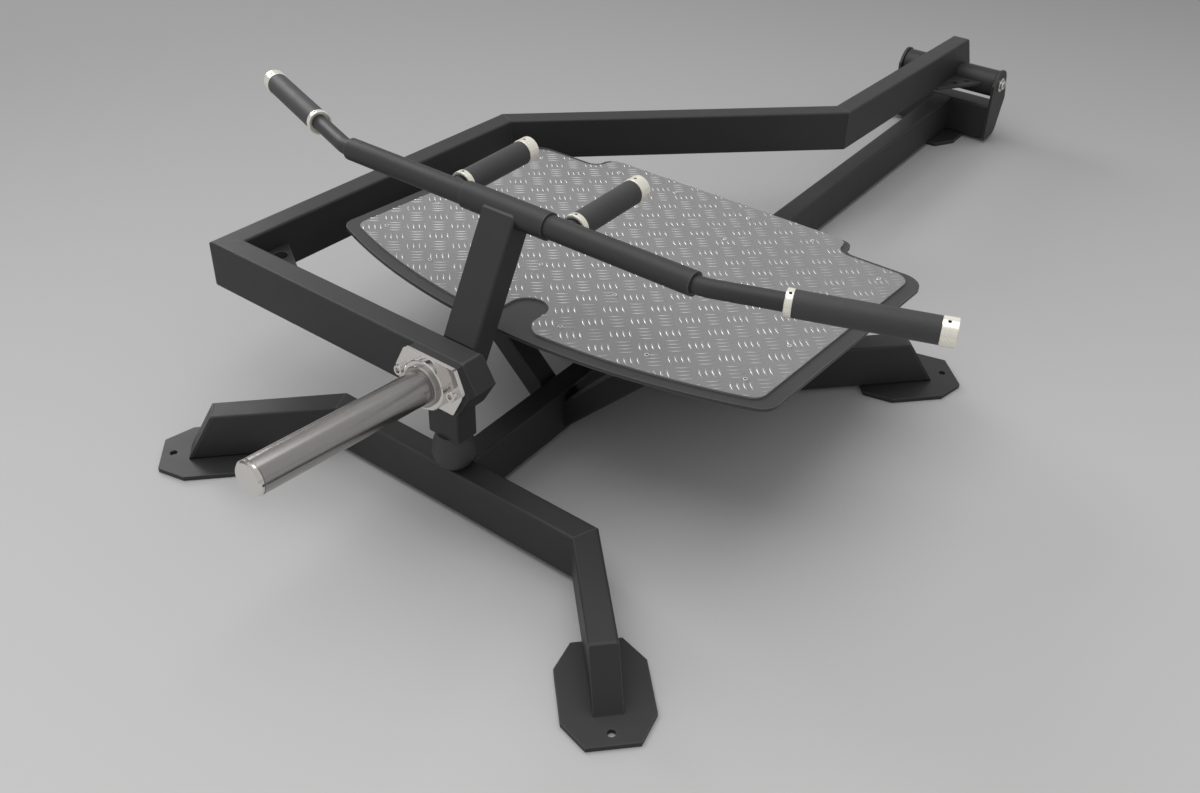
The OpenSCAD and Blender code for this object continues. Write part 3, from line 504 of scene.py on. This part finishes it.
def tread_bars():
    """All raised bars of the tread plate."""
    lines = tread_outline()
    bar = tread_bar()
    done = bmesh.new()
    for middle, heading in bar_groups():
        across = Vector((-math.sin(heading), math.cos(heading)))
        for step in BAR_STEPS:
            place_bar(done, bar, middle + across * BAR_STEP * step, heading, lines)
    bmesh.ops.transform(done, matrix=ON_PLATFORM, verts=done.verts)
    keep(done, "tread_bars", TREAD_BAR, "base")


def screw_middles():
    """The middle of each platform screw at its top, in the platform's own plane."""
    heads = flat_copy("platform_screws")
    seen = set()
    middles = []
    for first in heads.verts:
        if first in seen:
            continue
        seen.add(first)
        island = [first]
        for v in island:
            others = [edge.other_vert(v) for edge in v.link_edges]
            fresh = [other for other in others if other not in seen]
            seen.update(fresh)
            island.extend(fresh)
        x, y = (sum(v.co[i] for v in island) / len(island) for i in (0, 1))
        middles.append((x, y, max(v.co.z for v in island)))
    heads.free()
    return middles


def lay_on_platform(bm):
    bmesh.ops.recalc_face_normals(bm, faces=bm.faces)
    bmesh.ops.transform(bm, matrix=ON_PLATFORM, verts=bm.verts)


def screw_rims(middles):
    """The rounded rim of each countersunk platform screw, in a zinc paler than the screw's own as a
    painted highlight.
    """
    rims = bmesh.new()
    for x, y, z in middles:
        wire = bmesh.ops.create_circle(rims, segments=RIM_SIDES, radius=SCREW_RIM,
            matrix=Matrix.Translation((x + SCREW_RADIUS, y, z)) @ Matrix.Rotation(QUARTER, 4, "X"))
        ring = wire["verts"]
        edges = dict.fromkeys(edge for v in ring for edge in v.link_edges)
        bmesh.ops.spin(rims, geom=[*ring, *edges], cent=(x, y, z), axis=(0, 0, 1),
            angle=2 * math.pi, steps=RIM_STEPS, use_merge=True)
    for face in rims.faces:
        face.smooth = True
    lay_on_platform(rims)
    keep(rims, "screw_rims", RIM_HIGHLIGHT_ZINC, "base")


def socket_shade_blocks(middles):
    """A dark six sided block in each platform screw's socket: painted shade for the recess."""
    shade_blocks = bmesh.new()
    for x, y, z in middles:
        socket = bmesh.ops.create_circle(shade_blocks, cap_ends=True, segments=SOCKET_SIDES,
            radius=SCREW_SOCKET, matrix=Matrix.Translation((x, y, z - SOCKET_BELOW)))["verts"]
        bmesh.ops.extrude_face_region(shade_blocks, geom=socket[0].link_faces[:])
        bmesh.ops.translate(shade_blocks, vec=(0, 0, SOCKET_HIGH), verts=socket)
    lay_on_platform(shade_blocks)
    keep(shade_blocks, "socket_shade_blocks", SOCKET_SHADE, "base")


def set_screw():
    """One socket screw standing on Z at its height above the bar's middle."""
    screw = bmesh.new()
    bmesh.ops.create_cone(screw, cap_ends=True, segments=SET_SIDES, radius1=SET_RADIUS,
        radius2=SET_RADIUS, depth=SET_TOP - SET_BOTTOM)
    top = [face for face in screw.faces if face.normal.z > LEVEL]
    bmesh.ops.inset_region(screw, faces=top, thickness=SET_RIM)
    bmesh.ops.translate(screw, vec=(0, 0, -SET_SOCKET_DEEP),
        verts=list(dict.fromkeys(v for face in top for v in face.verts)))
    bmesh.ops.translate(screw, vec=(0, 0, (SET_TOP + SET_BOTTOM) / 2), verts=screw.verts)
    return screw


def set_screws():
    """The dark socket screws that clamp the collars and end caps."""
    on_bar = ON_LEVER @ Matrix.Translation((0, HANDLE_Y, HANDLE_Z))
    cranked = Matrix.Translation((BEND_X, 0, 0)) @ Matrix.Rotation(CRANK, 4, "Z")
    neutral = (Matrix.Translation((NEUTRAL_X, 0, 0)) @ Matrix.Rotation(NEUTRAL_RISE, 4, "X")
        @ Matrix.Rotation(QUARTER, 4, "Z"))
    spots = [
        (cranked, SET_LEAN, COLLAR_X + COLLAR_SCREW_IN),
        (cranked, SET_LEAN, CAP_X + CAP_SCREW_IN),
        (neutral, 0, NEUTRAL_COLLAR_X + COLLAR_SCREW_IN),
        (neutral, 0, NEUTRAL_CAP_X + CAP_SCREW_IN),
    ]
    done = bmesh.new()
    for place, lean, x in spots:
        for side in (1, -1):
            upright = (Matrix.Diagonal((side, 1, 1, 1)) @ on_bar @ place
                @ Matrix.Rotation(lean, 4, "X") @ Matrix.Translation((x, 0, 0)))
            screw = set_screw()
            bmesh.ops.transform(screw, matrix=upright, verts=screw.verts)
            bmesh.ops.recalc_face_normals(screw, faces=screw.faces)
            join(done, screw)
    keep(done, "set_screws", BLACK_STEEL, "lever")


tread_bars()
middles = screw_middles()
screw_rims(middles)
socket_shade_blocks(middles)
set_screws()


# The studio's floor

FLOOR_RADIUS = 40
FLOOR_DROP = 0.0002
FLOOR_SIDES = 96
FLOOR_SHADE = 0.60
# The two darker greys below are laid on the floor as painted shade
FLOOR_PAINTED_SHADE_BEHIND = 0.24
FLOOR_PAINTED_SHADE_LEFT = 0.22

# Level directions along the camera's view and to its left
AWAY = (-0.61, 0.79, 0.0)
LEFTWARD = (-0.79, -0.61, 0.0)


def floor_paint():
    """Pale studio floor with painted shade, darker behind the machine and towards the left, and
    pale again far away.
    """
    paint = new_finish("studio_floor")
    back = paint.toward(AWAY)
    left = paint.toward(LEFTWARD)
    near = 1 - paint.faded(back, low=2.3, high=5.0)
    near = near * (1 - paint.faded(left, low=2.2, high=4.8))
    near = near * paint.faded(left, low=-5.0, high=-2.4)
    # Painted shade: the floor darkened behind the machine and towards the left, fading out far away
    behind = paint.faded(back, low=-1.6, high=3.2) * near
    painted_shade_left = paint.faded(left, low=-0.5, high=3.0) * paint.faded(back, low=-1.0, high=2.4) * near
    shade = paint.mix(behind, grey(FLOOR_SHADE), grey(FLOOR_PAINTED_SHADE_BEHIND))
    shade = paint.mix(painted_shade_left, shade, grey(FLOOR_PAINTED_SHADE_LEFT))
    return paint.set(Base_Color=shade, Roughness=0.9, Specular_IOR_Level=0.1)


def studio_floor():
    bm = bmesh.new()
    bmesh.ops.create_circle(bm, cap_ends=True, segments=FLOOR_SIDES, radius=FLOOR_RADIUS)
    mesh = bpy.data.meshes.new("studio_floor")
    bm.to_mesh(mesh)
    bm.free()
    mesh.materials.append(floor_paint())
    floor = bpy.data.objects.new("studio_floor", mesh)
    floor.location = (0, 0, -FLOOR_DROP)
    bpy.context.scene.collection.objects.link(floor)


# The studio's light

ROOM_LIGHT = 0.53
BACKDROP = 0.42

# Each patch's direction, the cosines where it starts and is full, and what it adds
WALL_PATCHES = [
    ((-0.85, 0.35, 0.39), 0.35, 0.92, -0.36),
    ((-0.40, 0.82, 0.41), 0.88, 0.985, 0.42),
    ((-0.59, -0.80, 0.12), 0.80, 0.98, 0.40),
]


def lamp(name, place, aim, side, power):
    """A square soft lamp that faces a point."""
    data = bpy.data.lights.new(name, "AREA")
    data.shape = "RECTANGLE"
    data.size = side
    data.size_y = side
    data.energy = power
    light = bpy.data.objects.new(name, data)
    light.location = place
    light.rotation_euler = (Vector(aim) - Vector(place)).to_track_quat("-Z", "Y").to_euler()
    bpy.context.scene.collection.objects.link(light)


def studio_light():
    """Even pale walls, darker on the left, brighter behind and low at the front."""
    world = bpy.data.worlds.new("studio")
    walls = Finish(world, "Background", "Generated")
    bpy.context.scene.world = world
    light = ROOM_LIGHT
    for direction, start, full, change in WALL_PATCHES:
        light = light + change * walls.faded(walls.toward(direction), start, full)
    seen = walls.add("ShaderNodeLightPath", {}, [], "Is Camera Ray")
    walls.set(Strength=light + seen * (BACKDROP - light), Color=grey(1))
    lamp("top_softbox", place=(-1.0, 0.0, 5.0), aim=(0, 0.2, 0), side=5.4, power=158)
    lamp("key_softbox", place=(-4.8, 1.15, 2.35), aim=(0, 0.2, 0.2), side=1.9, power=92)


# The camera, as it was solved from the photograph

CAMERA_PLACE = (0.9912, -1.2128, 1.2415)
CAMERA_PITCH = math.radians(52.470)
CAMERA_TURN = math.radians(37.686)
LENS = 35.66
SENSOR_WIDTH = 36
CLIP_START = 0.05


def camera():
    data = bpy.data.cameras.new("camera")
    data.lens = LENS
    data.sensor_width = SENSOR_WIDTH
    data.clip_start = CLIP_START
    data.dof.use_dof = False
    cam = bpy.data.objects.new("camera", data)
    cam.location = CAMERA_PLACE
    cam.rotation_euler = (CAMERA_PITCH, 0, CAMERA_TURN)
    bpy.context.scene.collection.objects.link(cam)
    bpy.context.scene.camera = cam


studio_floor()
studio_light()
camera()
bpy.context.scene.view_settings.view_transform = "Standard"
